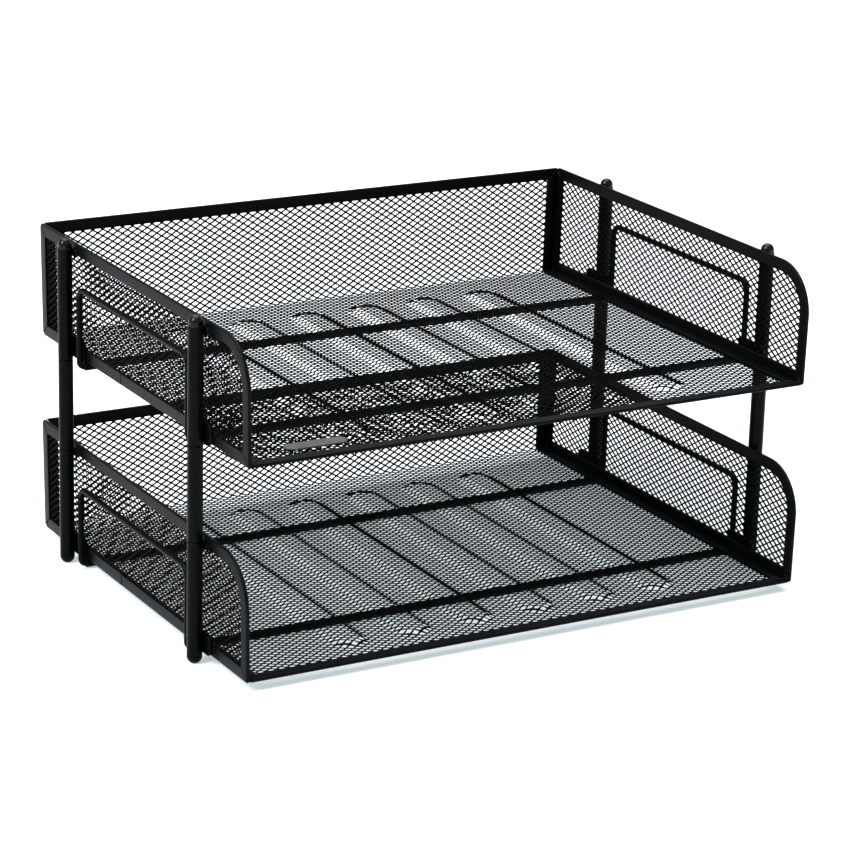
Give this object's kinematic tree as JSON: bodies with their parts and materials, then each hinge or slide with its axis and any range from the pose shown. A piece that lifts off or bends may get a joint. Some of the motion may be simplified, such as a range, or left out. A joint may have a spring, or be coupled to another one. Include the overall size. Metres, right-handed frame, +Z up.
{
  "type": "letter tray",
  "caption": "Stacking desk letter tray: open-front black steel mesh trays with folded edges, joined by round lift-out legs with rounded plugs and foot caps.",
  "frame": {"origin": "on the desk, under the middle of the trays' footprint", "axes": "+X to the right across the open front as the user faces it, +Y to the back panel, +Z up"},
  "size_m": [0.3472, 0.254, 0.1822],
  "materials": {
    "mesh": "satin black powder coat on expanded steel mesh",
    "hem": "satin black powder coat",
    "wire": "satin black powder coat",
    "post": "satin black powder coat",
    "leg": "satin black powder coat",
    "bracket": "satin black powder coat",
    "plug": "glossy black moulded plastic",
    "foot": "matt black soft plastic",
    "plate": "grey, satin, blank"
  },
  "bodies": {
    "lower_tray": {"lower_floor_mesh": "mesh", "lower_back_mesh": "mesh", "lower_left_mesh": "mesh", "lower_right_mesh": "mesh", "lower_floor_hem": "hem", "lower_back_hem": "hem", "lower_left_hem": "hem", "lower_right_hem": "hem", "lower_left_wire": "wire", "lower_right_wire": "wire", "lower_front_bar": "wire", "lower_rear_bar": "wire", "lower_foot_brackets": "bracket", "lower_top_tabs": "bracket", "lower_front_left_post": "post", "lower_front_right_post": "post", "lower_rear_left_post": "post", "lower_rear_right_post": "post", "foot_caps": "foot"},
    "extension_legs": {"front_left_leg": "leg", "front_right_leg": "leg", "rear_left_leg": "leg", "rear_right_leg": "leg"},
    "upper_tray": {"upper_floor_mesh": "mesh", "upper_back_mesh": "mesh", "upper_left_mesh": "mesh", "upper_right_mesh": "mesh", "upper_floor_hem": "hem", "upper_back_hem": "hem", "upper_left_hem": "hem", "upper_right_hem": "hem", "upper_left_wire": "wire", "upper_right_wire": "wire", "upper_front_bar": "wire", "upper_rear_bar": "wire", "upper_foot_brackets": "bracket", "upper_top_tabs": "bracket", "upper_front_left_post": "post", "upper_front_right_post": "post", "upper_rear_left_post": "post", "upper_rear_right_post": "post", "name_plate": "plate"},
    "front_left_cap": {"front_left_plug": "plug"},
    "front_right_cap": {"front_right_plug": "plug"},
    "rear_left_cap": {"rear_left_plug": "plug"},
    "rear_right_cap": {"rear_right_plug": "plug"}
  },
  "joints": [
    {"name": "legs_lift", "type": "slide", "parent": "lower_tray", "child": "extension_legs", "axis": [0, 0, 1], "range_m": [0, 0.06]},
    {"name": "upper_tray_lift", "type": "slide", "parent": "extension_legs", "child": "upper_tray", "axis": [0, 0, 1], "range_m": [0, 0.06]},
    {"name": "front_left_plug_pull", "type": "slide", "parent": "upper_tray", "child": "front_left_cap", "axis": [0, 0, 1], "range_m": [0, 0.02]},
    {"name": "front_right_plug_pull", "type": "slide", "parent": "upper_tray", "child": "front_right_cap", "axis": [0, 0, 1], "range_m": [0, 0.02]},
    {"name": "rear_left_plug_pull", "type": "slide", "parent": "upper_tray", "child": "rear_left_cap", "axis": [0, 0, 1], "range_m": [0, 0.02]},
    {"name": "rear_right_plug_pull", "type": "slide", "parent": "upper_tray", "child": "rear_right_cap", "axis": [0, 0, 1], "range_m": [0, 0.02]}
  ]
}
